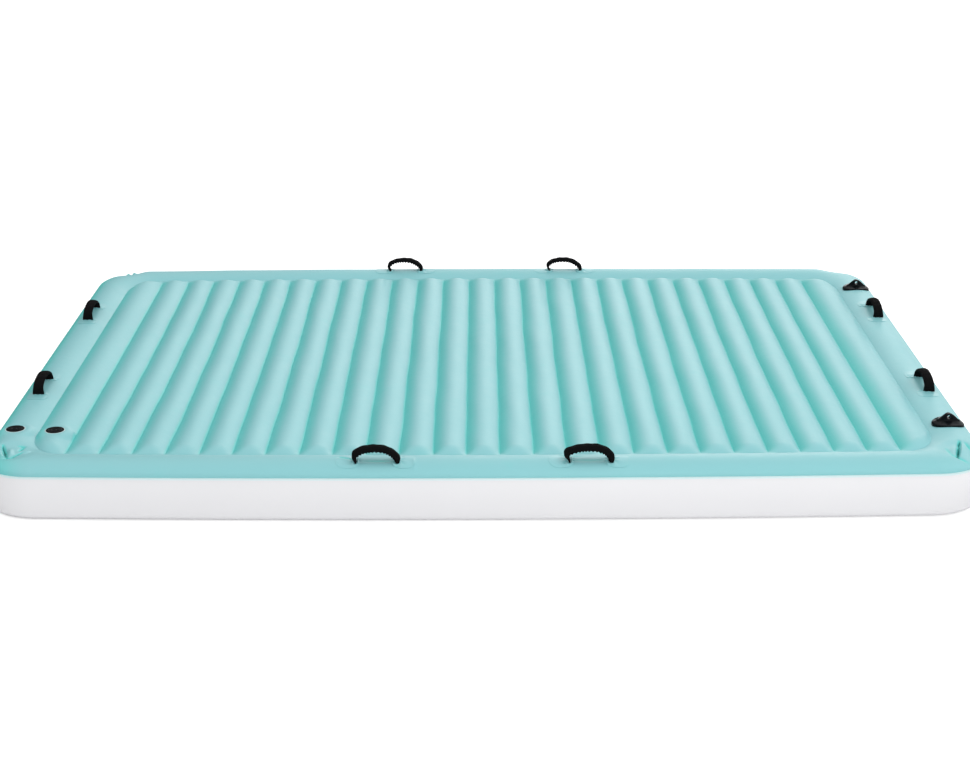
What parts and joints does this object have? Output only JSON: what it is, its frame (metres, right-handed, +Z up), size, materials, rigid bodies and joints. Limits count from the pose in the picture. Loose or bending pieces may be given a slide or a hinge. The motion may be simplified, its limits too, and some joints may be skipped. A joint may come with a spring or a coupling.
{
  "type": "inflatable pool lounger",
  "caption": "Large rectangular inflatable floating mat: a ribbed air core inside an air-filled rim, with grab handles, tow lugs and flush air valves.",
  "frame": {"origin": "on the ground, under the middle of the mat", "axes": "+X along the mat's length, towards the end with the tow lugs; +Y across it, towards the back; +Z up"},
  "size_m": [2.9, 2.13, 0.222],
  "materials": {
    "teal_vinyl": "satin teal vinyl film",
    "white_vinyl": "satin white vinyl film",
    "black_webbing": "black woven webbing with a soft padded grip",
    "black_plastic": "glossy black moulded plastic",
    "black_rubber": "matt black rubber"
  },
  "bodies": {
    "mat": {"rim_top_sheet": "teal_vinyl", "core_top_sheet": "teal_vinyl", "side_band": "white_vinyl", "rim_bottom_sheet": "white_vinyl", "core_bottom_sheet": "white_vinyl", "chamber_wall": "white_vinyl", "patch_front_left_1": "teal_vinyl", "patch_front_left_2": "teal_vinyl", "patch_front_right_1": "teal_vinyl", "patch_front_right_2": "teal_vinyl", "patch_back_left_1": "teal_vinyl", "patch_back_left_2": "teal_vinyl", "patch_back_right_1": "teal_vinyl", "patch_back_right_2": "teal_vinyl", "patch_left_front_1": "teal_vinyl", "patch_left_front_2": "teal_vinyl", "patch_left_back_1": "teal_vinyl", "patch_left_back_2": "teal_vinyl", "patch_right_front_1": "teal_vinyl", "patch_right_front_2": "teal_vinyl", "patch_right_back_1": "teal_vinyl", "patch_right_back_2": "teal_vinyl", "tow_lug_front": "black_plastic", "tow_lug_back": "black_plastic", "rim_valve_base": "black_plastic", "core_valve_base": "black_plastic"},
    "handle_front_left": {"handle_front_left": "black_webbing"},
    "handle_front_right": {"handle_front_right": "black_webbing"},
    "handle_back_left": {"handle_back_left": "black_webbing"},
    "handle_back_right": {"handle_back_right": "black_webbing"},
    "handle_left_front": {"handle_left_front": "black_webbing"},
    "handle_left_back": {"handle_left_back": "black_webbing"},
    "handle_right_front": {"handle_right_front": "black_webbing"},
    "handle_right_back": {"handle_right_back": "black_webbing"},
    "rim_valve_insert": {"rim_valve_insert": "black_plastic", "rim_valve_seal": "black_rubber"},
    "rim_valve_cap": {"rim_valve_cap": "black_plastic"},
    "rim_valve_flap": {"rim_valve_flap": "black_rubber"},
    "core_valve_insert": {"core_valve_insert": "black_plastic", "core_valve_seal": "black_rubber"},
    "core_valve_cap": {"core_valve_cap": "black_plastic"},
    "core_valve_flap": {"core_valve_flap": "black_rubber"}
  },
  "joints": [
    {"name": "handle_front_left_tilt", "type": "hinge", "parent": "mat", "child": "handle_front_left", "pos_m": [-0.30305, -1.01053, 0.17882], "axis": [1, 0, 0], "range_deg": [-50, 60], "stiffness_Nm_per_rad": 0.4},
    {"name": "handle_front_right_tilt", "type": "hinge", "parent": "mat", "child": "handle_front_right", "pos_m": [0.29942, -1.01054, 0.17882], "axis": [1, 0, 0], "range_deg": [-50, 60], "stiffness_Nm_per_rad": 0.4},
    {"name": "handle_back_left_tilt", "type": "hinge", "parent": "mat", "child": "handle_back_left", "pos_m": [-0.2929, 0.99406, 0.1814], "axis": [1, 0, 0], "range_deg": [-60, 60], "stiffness_Nm_per_rad": 0.4},
    {"name": "handle_back_right_tilt", "type": "hinge", "parent": "mat", "child": "handle_back_right", "pos_m": [0.31393, 0.99396, 0.1814], "axis": [1, 0, 0], "range_deg": [-60, 60], "stiffness_Nm_per_rad": 0.4},
    {"name": "handle_left_front_tilt", "type": "hinge", "parent": "mat", "child": "handle_left_front", "pos_m": [-1.3805, -0.35571, 0.1814], "axis": [0, 1, 0], "range_deg": [-60, 60], "stiffness_Nm_per_rad": 0.4},
    {"name": "handle_left_back_tilt", "type": "hinge", "parent": "mat", "child": "handle_left_back", "pos_m": [-1.3805, 0.43452, 0.1814], "axis": [0, 1, 0], "range_deg": [-60, 60], "stiffness_Nm_per_rad": 0.4},
    {"name": "handle_right_front_tilt", "type": "hinge", "parent": "mat", "child": "handle_right_front", "pos_m": [1.3805, -0.35997, 0.1814], "axis": [0, 1, 0], "range_deg": [-60, 60], "stiffness_Nm_per_rad": 0.4},
    {"name": "handle_right_back_tilt", "type": "hinge", "parent": "mat", "child": "handle_right_back", "pos_m": [1.3805, 0.43292, 0.1814], "axis": [0, 1, 0], "range_deg": [-60, 60], "stiffness_Nm_per_rad": 0.4},
    {"name": "rim_valve_insert_lift", "type": "slide", "parent": "mat", "child": "rim_valve_insert", "axis": [0, 0, 1], "range_m": [0, 0.014]},
    {"name": "rim_valve_cap_open", "type": "hinge", "parent": "rim_valve_insert", "child": "rim_valve_cap", "pos_m": [-1.3805, -0.7295, 0.17721], "axis": [-1, 0, 0], "range_deg": [0, 150]},
    {"name": "rim_valve_flap_open", "type": "hinge", "parent": "rim_valve_insert", "child": "rim_valve_flap", "pos_m": [-1.3805, -0.7358, 0.1619], "axis": [1, 0, 0], "range_deg": [0, 35], "stiffness_Nm_per_rad": 0.0005, "springref_deg": -28.65},
    {"name": "core_valve_insert_lift", "type": "slide", "parent": "mat", "child": "core_valve_insert", "axis": [0, 0, 1], "range_m": [0, 0.014]},
    {"name": "core_valve_cap_open", "type": "hinge", "parent": "core_valve_insert", "child": "core_valve_cap", "pos_m": [-1.261, -0.7415, 0.17721], "axis": [-1, 0, 0], "range_deg": [0, 150]},
    {"name": "core_valve_flap_open", "type": "hinge", "parent": "core_valve_insert", "child": "core_valve_flap", "pos_m": [-1.261, -0.7478, 0.1619], "axis": [1, 0, 0], "range_deg": [0, 35], "stiffness_Nm_per_rad": 0.0005, "springref_deg": -28.65}
  ]
}
